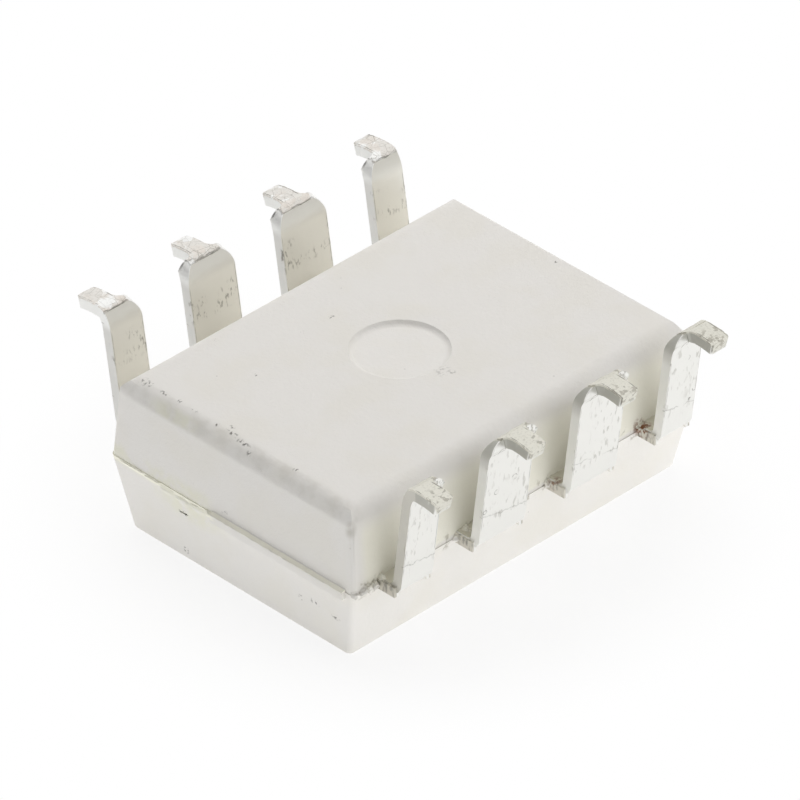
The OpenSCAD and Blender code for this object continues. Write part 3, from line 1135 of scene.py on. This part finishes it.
@dataclass
class MouldedBody:
    """The resin package: two drafted halves, flash at the parting line, and the mould's marks.

    Sizes in mm. Each soft border of a bevel is given by the length that it takes from either face.
    """

    half_l: float = 4.76
    half_w: float = 3.46
    height: float = 3.54
    parting: float = 1.72
    top_l: float = 4.617
    top_w: float = 3.301
    bottom_l: float = 4.540
    bottom_w: float = 3.094
    mismatch: float = 0.015
    bevel_run: float = 0.15
    bevel_drop: float = 0.27
    bevel_soft: tuple[float, float] = (0.2, 0.05)
    far_soft: tuple[float, float] = (0.06, 0.06)
    long_edge: float = 0.4
    upper_corner: float = 0.13
    lower_corner: float = 0.12
    face_round: float = 0.05
    overlap: float = 0.02
    clear: float = 0.004
    flash_reach: float = 0.14
    flash_t: float = 0.15
    flash_w: float = 3.22
    flash_root: float = 0.2
    flash_top: float = 0.14
    flash_fall: float = 0.12
    flash_cuts: int = 70
    torn_from: float = 0.5
    torn_back: float = 0.19
    worn_back: float = 0.05
    plain_back: float = 0.01
    eject: tuple[float, float] = (-0.05, 0.03)
    eject_r: float = 1.03
    eject_depth: float = 0.055
    eject_wall: float = 0.05
    eject_foot: float = 0.06
    eject_tilt: Triple = (-0.028, 0.027, 0.0)
    dimple: tuple[float, float] = (-3.59, 2.144)
    dimple_r: float = 0.45
    dimple_depth: float = 0.08
    slit: tuple[Triple, Triple] = ((-4.7, 1.405, 1.25), (0.36, 0.26, 0.05))
    crumbs: tuple[tuple[Triple, Triple], ...] = (
        ((-4.74, 0.6, 1.65), (0.11, 0.4, 0.16)),
        ((-4.73, 0.95, 1.61), (0.10, 0.5, 0.2)),
        ((-4.72, 1.36, 1.57), (0.10, 0.56, 0.24)),
        ((-4.73, 1.8, 1.61), (0.09, 0.56, 0.2)),
        ((-4.735, 2.25, 1.65), (0.09, 0.56, 0.16)),
        ((-4.74, 2.7, 1.675), (0.08, 0.56, 0.12)),
        ((-4.74, 3.06, 1.685), (0.08, 0.36, 0.1)),
        ((-4.66, -3.42, 1.7), (0.22, 0.18, 0.12)),
        ((-4.5, -3.47, 1.72), (0.2, 0.14, 0.14)),
        ((-4.36, -3.46, 1.75), (0.2, 0.18, 0.2)),
        ((-4.2, -3.48, 1.73), (0.22, 0.2, 0.16)),
        ((-4.02, -3.5, 1.8), (0.16, 0.22, 0.22)),
        ((-1.95, -3.47, 1.72), (0.2, 0.16, 0.14)),
        ((-1.72, -3.5, 1.8), (0.2, 0.22, 0.2)),
        ((0.58, -3.47, 1.74), (0.2, 0.16, 0.16)),
        ((3.14, -3.46, 1.76), (0.2, 0.16, 0.16)),
        ((-0.56, -3.47, 1.74), (0.16, 0.14, 0.14)),
        ((1.99, -3.47, 1.72), (0.16, 0.14, 0.12)),
    )

    def build(self, resin: bpy.types.Material) -> bpy.types.Object:
        """Models the package and puts it on the part.

        Args:
            resin: Its material.

        Returns:
            The finished object.
        """
        body = self._lower_half()
        body.combine(self._upper_half(), "UNION")
        body.combine(self._worn_flash(), "UNION")
        body.combine(self._plain_flash(), "UNION")
        body.combine(self._ejector_pin(), "DIFFERENCE")
        body.combine(self._dimple(), "DIFFERENCE")
        for middle, size in self.crumbs:
            seed = round(100 * (middle[0] + size[1])) % 97
            body.combine(Workpiece.lump("crumb", middle, size, seed), "UNION")
        body.combine(Workpiece.lump("gate_slit", *self.slit, 4), "DIFFERENCE")
        body.seal()
        return body.finish(40.0, resin, "white_resin", "moulded_body")

    def _lower_half(self) -> Workpiece:
        """Half between the marked face and the parting line.

        Returns:
            The lower half.
        """
        l, w = self.half_l, self.half_w
        half = Workpiece.block("package", (-l, -w, 0.0), (l, w, self.parting))
        with half.editing():
            half.pick(Element.VERT, lambda at, _: at.z < NEAR)
            half.resize((self.bottom_l / l, self.bottom_w / w, 1.0), (0, 0, 0))
            half.pick(Element.EDGE, lambda at, run: abs(run.z) > ALONG)
            half.bevel(self.lower_corner, 4)
            half.pick(Element.EDGE, lambda at, run: at.z < NEAR)
            half.bevel(self.face_round, 2)
        return half

    def _upper_half(self) -> Workpiece:
        """Half above the parting line, with its rounded long edges and bevelled short ones.

        Returns:
            The upper half.
        """
        l, w = self.half_l - self.mismatch, self.half_w - self.mismatch
        top = self.height
        half = Workpiece.block("upper_half", (-l, -w, self.parting - self.overlap), (l, w, top))
        with half.editing():
            half.pick(Element.VERT, lambda at, _: at.z > top - NEAR)
            half.resize((self.top_l / l, self.top_w / w, 1.0), (0, 0, 0))
            half.pick(Element.EDGE, lambda at, run: at.z > top - NEAR and abs(run.x) > ALONG)
            half.bevel(self.long_edge, 12)
            for side in (-1, 1):
                self._bevel_end(half, side)
                half.pick_all()
                half.slice((0.0, side * (self.top_w - 1.15 * self.long_edge), 0.0), (0.0, 1.0, 0.0))
        half.combine(self._rounded_block(l, w), "INTERSECT")
        return half

    def _bevel_end(self, half: Workpiece, side: int) -> None:
        """Bevels a short end, by planes that touch the soft borders of the bevel.

        Args:
            half: The upper half.
            side: -1 or 1, for the end.
        """
        draft = (self.half_l - self.mismatch - self.top_l) / (self.height - self.parting)
        drop = self.bevel_run / (self.bevel_run / self.bevel_drop - draft)
        slope = math.atan2(self.bevel_drop, self.bevel_run)
        upright = math.pi / 2 - math.atan(draft)
        upper = (self.top_l - self.bevel_run, self.height, 0.0, slope)
        lower = (self.top_l + drop * draft, self.height - drop, slope, upright)
        for (x, z, first, last), width in zip((upper, lower), self.bevel_soft if side < 0 else self.far_soft):
            radius = width / math.tan((last - first) / 2)
            x -= width * math.cos(first) + radius * math.sin(first)
            z -= radius * math.cos(first) - width * math.sin(first)
            for step in range(1, SOFT_STEPS + 1):
                turn = first + (last - first) * step / SOFT_STEPS
                point = (side * (x + radius * math.sin(turn)), 0.0, z + radius * math.cos(turn))
                half.pick_all()
                half.slice(point, (side * math.sin(turn), 0.0, math.cos(turn)), True)

    def _rounded_block(self, l: float, w: float) -> Workpiece:
        """Drafted block with rounded upright corners, which the upper half is trimmed to.

        Args:
            l: Half of the upper half's length at the parting line.
            w: Half of its width there.

        Returns:
            The block.
        """
        high = self.height
        l, w = l + self.clear, w + self.clear
        block = Workpiece.block("corner_round", (-l, -w, self.parting - self.overlap), (l, w, high + NEAR))
        with block.editing():
            block.pick(Element.VERT, lambda at, _: at.z > high - NEAR)
            block.resize(((self.top_l + self.clear) / l, (self.top_w + self.clear) / w, 1.0), (0, 0, 0))
            block.pick(Element.EDGE, lambda at, run: abs(run.z) > ALONG)
            block.bevel(self.upper_corner, 5)
        return block

    def _worn_flash(self) -> Workpiece:
        """Flash lip of the -X end: a ledge that is torn away beside the gate.

        Returns:
            The lip.
        """
        lip = self._flash("worn_flash", -1)
        reach = -self.half_l - self.flash_reach
        with lip.editing():
            lip.pick(Element.VERT, lambda at, _: at.x < reach + 0.05 and at.y > self.torn_from)
            lip.push((self.torn_back, 0.0, 0.0))
            lip.roughen(0.02, 5)
            lip.pick(Element.VERT, lambda at, _: at.x < reach + 0.05 and at.y <= self.torn_from)
            lip.push((self.worn_back, 0.0, 0.0))
            lip.roughen(0.014, 9)
        return lip

    def _plain_flash(self) -> Workpiece:
        """Flash lip of the +X end.

        Returns:
            The lip.
        """
        lip = self._flash("plain_flash", 1)
        with lip.editing():
            lip.pick(Element.VERT, lambda at, _: at.x > self.half_l + 0.1)
            lip.push((-self.plain_back, 0.0, 0.0))
            lip.roughen(0.008, 2)
        return lip

    def _flash(self, name: str, side: int) -> Workpiece:
        """A straight flash lip with a sloped top, cut into short lengths.

        Args:
            name: Name of the lip.
            side: -1 or 1, for the end that carries it.

        Returns:
            The lip.
        """
        inner, outer = side * (self.half_l - self.flash_root), side * (self.half_l + self.flash_reach)
        low_x, high_x = sorted((inner, outer))
        low = (low_x, -self.flash_w, self.parting - self.flash_t)
        lip = Workpiece.block(name, low, (high_x, self.flash_w, self.parting + self.flash_top))
        with lip.editing():
            lip.pick(Element.EDGE, lambda at, run: abs(run.y) > ALONG)
            bpy.ops.mesh.subdivide(number_cuts=self.flash_cuts)
            lip.pick(Element.VERT, lambda at, _: abs(at.x) > self.half_l and at.z > self.parting)
            lip.push((0.0, 0.0, -self.flash_fall))
        return lip

    def _ejector_pin(self) -> Workpiece:
        """Cutter of the round ejector mark: it stood a little askew and left a rounded foot.

        Returns:
            The cutter.
        """
        foot = (self.eject[0], self.eject[1], self.height - self.eject_depth)
        radii = (self.eject_r - self.eject_wall, self.eject_r + self.eject_wall)
        pin = Workpiece.drum("ejector_pin", foot, 2 * self.eject_depth, radii, self.eject_tilt)
        with pin.editing():
            pin.pick(Element.EDGE, lambda at, run: at.z < self.height - NEAR and abs(run.z) < ACROSS)
            pin.bevel(self.eject_foot, 5)
        return pin

    def _dimple(self) -> Workpiece:
        """Cutter of the dimple beside lead 1 in the marked face."""
        foot = (*self.dimple, -self.dimple_depth)
        return Workpiece.drum("dimple", foot, 2 * self.dimple_depth, (self.dimple_r, self.dimple_r))


class Arm(Enum):
    """What a lead does inside the package: how far its arm reaches to -X and +X."""

    CHIP = (-0.23, 1.63)
    POST = (-0.73, 0.23)


class Row(Enum):
    """A long side of the package, by the sign of Y on that side."""

    INPUT = 1
    OUTPUT = -1


@dataclass
class Foot:
    """The narrow foot of a lead: struck flat from a crease on the crown, it droops to its tip.

    Sizes in mm. Spread gives, up to a place in Y, how far the root is drawn out over a shoulder.
    """

    half: float = FOOT_HALF
    thick: float = 0.26
    bend_y: float = 4.488
    bend_z: float = 4.034
    bend_r: float = 0.386
    crease: float = 58.0
    level_y: float = 4.58
    droop_r: float = 1.95
    droop: float = 15.4
    tip_round: float = 0.07
    cuts: Triple = (-0.12, -0.01, 0.11)
    root: float = 0.19
    root_beat: float = 3.5
    root_sink: float = 0.022
    spread: tuple[tuple[float, float], ...] = ((4.35, 0.17), (4.41, 0.15), (4.46, 0.09), (4.52, 0.03))

    def shape(self) -> Workpiece:
        """Models the foot from its crease to its tip.

        Returns:
            The foot in the middle of the row.
        """
        half, top_z = self.half, self.bend_z + self.bend_r
        foot = Workpiece.block("foot", (-half, self.bend_y, top_z - self.thick), (half, self.level_y, top_z))
        tip = math.radians(self.droop)
        tip_y = self.level_y + self.droop_r * math.sin(tip)
        tip_at = Vector((0.0, tip_y, top_z - self.droop_r * (1 - math.cos(tip))))
        along = Vector((0.0, math.cos(tip), -math.sin(tip)))
        with foot.editing():
            for cut in self.cuts:
                foot.pick_all()
                foot.slice((cut, 0.0, 0.0), (1.0, 0.0, 0.0))
            foot.pick(Element.FACE, lambda at, n: n.y < -ALONG)
            foot.spin(90.0 - self.crease, 4, (0.0, self.bend_y, self.bend_z), True)
            foot.pick(Element.FACE, lambda at, n: n.y > ALONG and at.y > self.bend_y + 2 * NEAR)
            foot.spin(self.droop, 7, (0.0, self.level_y, top_z - self.droop_r), False)
            foot.pick(
                Element.EDGE,
                lambda at, run: abs(run.x) < ACROSS
                and abs((at - tip_at).dot(along)) < NEAR / 2
                and abs(run.dot(along)) < ACROSS
                and abs(at.x) > half - NEAR,
            )
            foot.bevel(self.tip_round, 3)
        return foot

    def flare(self, foot: Workpiece, sides: Sequence[int]) -> None:
        """Spreads the root of a foot over the shoulders that it grows out of.

        Args:
            foot: The foot.
            sides: Signs of X of the sides that carry a shoulder.
        """
        with foot.editing():
            low = 0.0
            for high, spread in self.spread:
                for side in sides:
                    foot.pick(
                        Element.VERT,
                        lambda at, _: low <= at.y < high and at.x * side > self.half - NEAR / 2,
                    )
                    foot.push((side * spread, 0.0, 0.0))
                low = high

    def crinkle(self, foot: Workpiece, amount: float, seed: int) -> None:
        """Beats the upper face of a foot uneven, as the forming die left it.

        Args:
            foot: The foot.
            amount: How far a point may move.
            seed: Picks one of many patterns.
        """
        with foot.editing():
            foot.pick(Element.VERT, lambda at, n: n.z > 0.45 and at.y > self.bend_y - self.root)
            foot.roughen(amount, seed)
            foot.pick(Element.VERT, lambda at, _: at.y <= self.bend_y - self.root)
            foot.roughen(self.root_beat * amount, seed + 20)
            foot.push((0.0, 0.0, -self.root_sink))


@dataclass
class Lead:
    """One formed lead of the +Y row without its foot, about its own axis. Sizes in mm."""

    number: int
    low: float
    high: float
    arm: Arm
    strip_z: float = 1.62
    thick: float = 0.225
    foot: float = FOOT_HALF
    root_y: float = 2.66
    arm_y: float = 0.32
    arm_w: float = 0.76
    bend_y: float = 3.72
    bend_z: float = 1.965
    bend_r: float = 0.12
    lean: float = 8.0
    rise: float = 2.0213
    curl_r: float = 0.8
    curl: float = 30.0
    tuck_r: float = 0.231
    tuck: float = 45.0
    trim_lean: float = 0.45
    stub: float = 0.06
    stub_root: float = 0.05
    stub_y: tuple[float, float] = (-0.35, 0.21)
    stub_z: tuple[float, float] = (1.605, 1.83)

    @property
    def up(self) -> Vector:
        """Direction of the upright part."""
        angle = math.radians(self.lean)
        return Vector((0.0, math.sin(angle), math.cos(angle)))

    @property
    def out(self) -> Vector:
        """Direction from the body square to the upright part."""
        angle = math.radians(self.lean)
        return Vector((0.0, math.cos(angle), -math.sin(angle)))

    @property
    def trim(self) -> Vector:
        """Direction in which a shoulder is measured: up the plate, but leaning to the body."""
        return (self.up - self.out * self.trim_lean).normalized()

    @property
    def curl_axis(self) -> Vector:
        """Middle of the gentle bend at the top of the plate."""
        base = Vector((0.0, self.bend_y, self.bend_z))
        return base + self.up * self.rise + self.out * (self.bend_r + self.curl_r)

    @property
    def tuck_axis(self) -> Vector:
        """Middle of the tight bend that follows it."""
        turn = math.radians(self.lean + self.curl)
        return self.curl_axis + Vector((0.0, -math.cos(turn), math.sin(turn))) * (self.curl_r - self.tuck_r)

    @property
    def shoulders(self) -> list[int]:
        """Signs of X of the sides that carry a shoulder."""
        return [side for side, edge in ((-1, self.low), (1, self.high)) if abs(edge) > self.foot + 0.1]

    def shape(self) -> Workpiece:
        """Models the lead, from its arm inside the package to its crown.

        Returns:
            The lead at the middle of the row.
        """
        piece = Workpiece.block(
            f"plate_{self.number}",
            (self.low, self.root_y, self.strip_z),
            (self.high, self.bend_y, self.strip_z + self.thick),
        )
        with piece.editing():
            for edge in (-self.foot, self.foot):
                piece.pick_all()
                piece.slice((edge, 0.0, 0.0), (1.0, 0.0, 0.0))
            self._raise_plate(piece)
            self._draw_arm(piece)
        self._leave_stubs(piece)
        piece.seal()
        return piece

    def _draw_arm(self, piece: Workpiece) -> None:
        """Draws the finger and the arm that carries a chip or takes a wire.

        Args:
            piece: The strip, in edit mode.
        """
        piece.pick(
            Element.FACE,
            lambda at, n: n.y < -ALONG and abs(at.x) < self.foot and at.y < self.root_y + NEAR,
        )
        piece.draw_out((0.0, self.arm_y + self.arm_w - self.root_y, 0.0))
        piece.draw_out((0.0, -self.arm_w, 0.0))
        for side, reach in zip((-1, 1), self.arm.value):
            if abs(reach) > self.foot + NEAR:
                piece.pick(
                    Element.FACE,
                    lambda at, n: n.x * side > ALONG and at.y < self.arm_y + self.arm_w,
                )
                piece.draw_out((reach - side * self.foot, 0.0, 0.0))

    def _raise_plate(self, piece: Workpiece) -> None:
        """Bends the strip up, draws the upright plate and curls its top outwards.

        Args:
            piece: The strip, in edit mode.
        """
        piece.pick(Element.FACE, lambda at, n: n.y > ALONG and at.y > self.bend_y - NEAR)
        piece.spin(90.0 - self.lean, 10, (0.0, self.bend_y, self.bend_z), True)
        piece.draw_out(self.up * self.rise)
        piece.spin(self.curl, 6, self.curl_axis, False)
        piece.spin(self.tuck, 5, self.tuck_axis, False)
        for side in self.shoulders:
            self._round_shoulder(piece, side)

    def _round_shoulder(self, piece: Workpiece, side: int) -> None:
        """Trims a corner of the bent strip to a round shoulder, by planes that touch its outline.

        Args:
            piece: The strip.
            side: Sign of X of the corner.
        """
        (wide, long), (neck_x, neck_rise) = SHOULDER, NECK
        for step in range(1, SOFT_STEPS + 1):
            turn = math.radians(10.0 * step)
            point = self.trim * (neck_rise + long * math.sin(turn))
            point.x = side * (neck_x + wide * math.cos(turn))
            normal = self.trim * (math.sin(turn) / long)
            normal.x = side * math.cos(turn) / wide
            piece.pick_all()
            piece.slice(point, normal, True)

    def _leave_stubs(self, piece: Workpiece) -> None:
        """Leaves the square stubs of the cut dam bar on both sides of the first bend.

        Args:
            piece: The strip.
        """
        (near, far), (foot, top) = self.stub_y, self.stub_z
        for edge in (self.low, self.high):
            side = math.copysign(1.0, edge)
            low, high = sorted((edge - side * self.stub_root, edge + side * self.stub))
            corners = (low, self.bend_y + near, foot), (high, self.bend_y + far, top)
            piece.combine(Workpiece.block("dam_stub", *corners), "UNION")


@dataclass
class LeadRows:
    """The eight leads: four plates and one foot, put together in both rows."""

    crinkle: float = 0.009

    def build(self, tin: bpy.types.Material) -> list[bpy.types.Object]:
        """Models all leads and puts them on the part.

        Args:
            tin: Their material.

        Returns:
            The eight finished objects.
        """
        wide, narrow = PLATE_HALF, FOOT_HALF
        leads = (
            Lead(1, -narrow, wide, Arm.CHIP),
            Lead(2, -wide, wide, Arm.POST),
            Lead(3, -wide, wide, Arm.CHIP),
            Lead(4, -wide, narrow, Arm.POST),
        )
        foot = Foot()
        tread = foot.shape()
        made = []
        for lead in leads:
            plate = lead.shape()
            for row in Row:
                number = lead.number if row is Row.INPUT else 9 - lead.number
                piece = self._assemble(lead, plate, foot, tread, number)
                self._place(piece, lead, row)
                made.append(piece.finish(35.0, tin, "tin_plate", f"lead_{number}"))
            bpy.data.objects.remove(plate.thing)
        bpy.data.objects.remove(tread.thing)
        return made

    def _assemble(self, lead: Lead, plate: Workpiece, foot: Foot, tread: Workpiece, number: int) -> Workpiece:
        """Puts a copy of the foot on a copy of a plate.

        Args:
            lead: Sizes of the plate.
            plate: The plate, which is copied.
            foot: Sizes of the foot.
            tread: The foot, which is copied.
            number: Number of the lead.

        Returns:
            The lead at the middle of the +Y row.
        """
        piece = plate.twin(f"lead_{number}_formed")
        struck = tread.twin("struck_tread")
        foot.crinkle(struck, self.crinkle, number)
        foot.flare(struck, lead.shoulders)
        piece.combine(struck, "UNION")
        piece.seal()
        return piece

    def _place(self, piece: Workpiece, lead: Lead, row: Row) -> None:
        """Takes a lead to its place in a row.

        Args:
            piece: The lead at the middle of the +Y row.
            lead: Its sizes and its number in that row.
            row: The row that it goes to.
        """
        with piece.editing():
            piece.pick_all()
            piece.resize((1.0, row.value, 1.0), (0, 0, 0))
            piece.push(((lead.number - 2.5) * PITCH, 0.0, 0.0))
            bpy.ops.mesh.normals_make_consistent(inside=False)


@dataclass(frozen=True)
class Card:
    """A grey card of the studio, in metres: its direction, distance and size and its grey."""

    name: str
    way: Triple
    distance: float
    size: float
    grey: float


@dataclass
class Studio:
    """Pale floor, soft light and the camera of the photograph. Sizes in metres."""

    focal_px: float = 11596.39
    image_px: int = 800
    azimuth: float = -43.903
    elevation: float = 35.155
    roll: float = -0.824
    distance: float = 0.23033
    sensor_mm: float = 36.0
    clip: tuple[float, float] = (0.01, 10.0)
    aim: Triple = (0.0, 0.0, 0.002)
    slide: tuple[float, float] = (0.0000693, -0.0002673)
    floor_size: float = 1.2
    floor_drop: float = 0.00001
    floor_colour: tuple = (0.93, 0.93, 0.925, 1.0)
    floor_shadow: float = 0.16
    shadow_mm: tuple[float, float] = (8.5, 5.0)
    glow_mm: float = 40.0
    floor_glow: tuple[float, float] = (0.62, 0.78)
    world_light: float = 0.38
    white: tuple = (1.0, 1.0, 1.0, 1.0)
    lamp_size: float = 0.12
    lamp_tint: Triple = (1.0, 0.985, 0.975)
    lamps: tuple[tuple[str, Triple, float], ...] = (
        ("soft_key", (0.035, 0.055, 0.108), 0.086),
        ("soft_front", (0.03, -0.07, 0.105), 0.037),
    )
    cards: tuple[Card, ...] = (
        Card("shade_card", (-0.8, -0.1, 0.6), 0.14, 0.16, 0.05),
        Card("crest_card", (-0.3, 0.62, 0.72), 0.17, 0.15, 0.62),
        Card("crown_card", (0.567, -0.575, 0.588), 0.15, 0.12, 0.75),
    )

    def build(self) -> None:
        """Sets up the floor, the lights, the world and the camera."""
        self._floor()
        self._lamps()
        self._cards()
        self._world()
        self._camera()
        bpy.context.scene.view_settings.view_transform = "Standard"

    def _seen(self, graph: Graph) -> Signal:
        """1 for rays that show the background: from the camera, in gloss and through glass.

        Args:
            graph: The node tree.

        Returns:
            The share of such rays.
        """
        path = graph.node("ShaderNodeLightPath").socket.node.outputs
        seen = Signal(graph, path["Is Camera Ray"])
        for other in ("Is Glossy Ray", "Is Transmission Ray"):
            seen = seen.most(Signal(graph, path[other]))
        return seen

    def _floor(self) -> None:
        """Lays a pale floor that glows softly and keeps the part's shadow."""
        clear_selection()
        bpy.ops.mesh.primitive_plane_add(size=self.floor_size, location=(0, 0, -self.floor_drop))
        floor = bpy.context.active_object
        floor.name = "floor"
        bpy.ops.object.transform_apply(location=True, rotation=True, scale=True)
        s = Surface("pale_floor")
        near = s.away((0.0, 0.0, 0.0)).rise(*self.shadow_mm) * self.floor_shadow
        seen = self._seen(s)
        paper = s.node("ShaderNodeBsdfDiffuse", sockets={"Color": self.floor_colour})
        white, dim, bright = (
            s.node("ShaderNodeEmission", sockets={"Color": self.white, "Strength": level})
            for level in (1.0, *self.floor_glow)
        )
        along = s.xyz[0].rise(-self.glow_mm, self.glow_mm)
        glow = s.node("ShaderNodeMixShader", sockets={0: along, 1: dim, 2: bright})
        lit = s.node("ShaderNodeAddShader", sockets={0: paper, 1: glow})
        shown = s.node("ShaderNodeMixShader", sockets={0: near, 1: white, 2: paper})
        both = s.node("ShaderNodeMixShader", sockets={0: seen, 1: lit, 2: shown})
        s.node("ShaderNodeOutputMaterial", sockets={"Surface": both})
        floor.data.materials.append(s.material)

    def _lamps(self) -> None:
        """Hangs two large soft lights above the part, the stronger one behind it."""
        for name, place, power in self.lamps:
            clear_selection()
            bpy.ops.object.light_add(type="AREA", location=place)
            lamp = bpy.context.active_object
            lamp.name = name
            lamp.rotation_euler = Vector(place).to_track_quat("Z", "Y").to_euler()
            lamp.data.size = self.lamp_size
            lamp.data.energy = power
            lamp.data.color = self.lamp_tint
            lamp.visible_glossy = False

    def _cards(self) -> None:
        """Stands grey cards round the part, out of the camera's sight, for its gloss and its shaded end."""
        for card in self.cards:
            clear_selection()
            way = Vector(card.way).normalized()
            bpy.ops.mesh.primitive_plane_add(size=card.size, location=way * card.distance)
            plane = bpy.context.active_object
            plane.name = card.name
            plane.rotation_euler = way.to_track_quat("Z", "Y").to_euler()
            bpy.ops.object.transform_apply(location=True, rotation=True, scale=True)
            plane.visible_camera = False
            s = Surface(card.name)
            weave = s.noise(0.4, 2.0)
            colour = s.mix(weave, (card.grey * 0.9,) * 3 + (1.0,), (card.grey * 1.1,) * 3 + (1.0,))
            plane.data.materials.append(s.close(Base_Color=colour, Roughness=0.9))

    def _world(self) -> None:
        """Gives the room a dim even light and a white look."""
        world = bpy.data.worlds.new("white_room")
        bpy.context.scene.world = world
        world.use_nodes = True
        g = Graph(world.node_tree)
        room, white = (
            g.node("ShaderNodeBackground", sockets={"Color": self.white, "Strength": level})
            for level in (self.world_light, 1.0)
        )
        both = g.node("ShaderNodeMixShader", sockets={0: self._seen(g), 1: room, 2: white})
        g.node("ShaderNodeOutputWorld", sockets={"Surface": both})

    def _camera(self) -> None:
        """Places the camera at the photograph's viewing angle."""
        a, e, r = (math.radians(v) for v in (self.azimuth, self.elevation, self.roll))
        back = Vector((math.sin(a) * math.cos(e), -math.cos(a) * math.cos(e), math.sin(e)))
        level = (-back).cross(Vector((0, 0, 1))).normalized()
        above = level.cross(-back)
        right = level * math.cos(r) + above * math.sin(r)
        up = above * math.cos(r) - level * math.sin(r)
        clear_selection()
        bpy.ops.object.camera_add()
        camera = bpy.context.active_object
        camera.name = "camera"
        turn = camera.matrix_world.to_3x3()
        turn.col[0], turn.col[1], turn.col[2] = right, up, back
        camera.rotation_euler = turn.to_euler()
        camera.location = Vector(self.aim) + back * self.distance - right * self.slide[0] - up * self.slide[1]
        camera.data.sensor_width = self.sensor_mm
        camera.data.lens = self.focal_px / self.image_px * self.sensor_mm
        camera.data.clip_start, camera.data.clip_end = self.clip
        bpy.context.scene.camera = camera


@dataclass
class Channels:
    """Chips, wires and domes inside the package: the CAD's own solids with their finishes."""

    numbers: tuple[int, int] = (1, 2)

    def dress(self) -> None:
        """Gives every inner node its material."""
        finishes = {
            "emitter_chip": DieFinish("emitter_die", srgb(120, 62, 58), srgb(214, 176, 120), 9.0).make(),
            "detector_chip": DieFinish("detector_die", srgb(58, 62, 78), srgb(176, 178, 184), 7.0).make(),
            "emitter_wire": GoldFinish().make(),
            "light_dome": SiliconeFinish().make(),
        }
        finishes["detector_wire"] = finishes["emitter_wire"]
        for kind, surface in finishes.items():
            for channel in self.numbers:
                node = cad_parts[f"{kind}_{channel}"]
                node.data.materials.clear()
                node.data.materials.append(surface)
                log.info("%s: CAD node dressed in %s", node.name, surface.name)


def main() -> None:
    """Builds the studio and every piece in order."""
    logging.basicConfig(level=logging.INFO, format="%(message)s")
    Studio().build()
    MouldedBody().build(ResinFinish().make())
    LeadRows().build(TinFinish().make())
    Channels().dress()


if __name__ == "__main__":
    main()
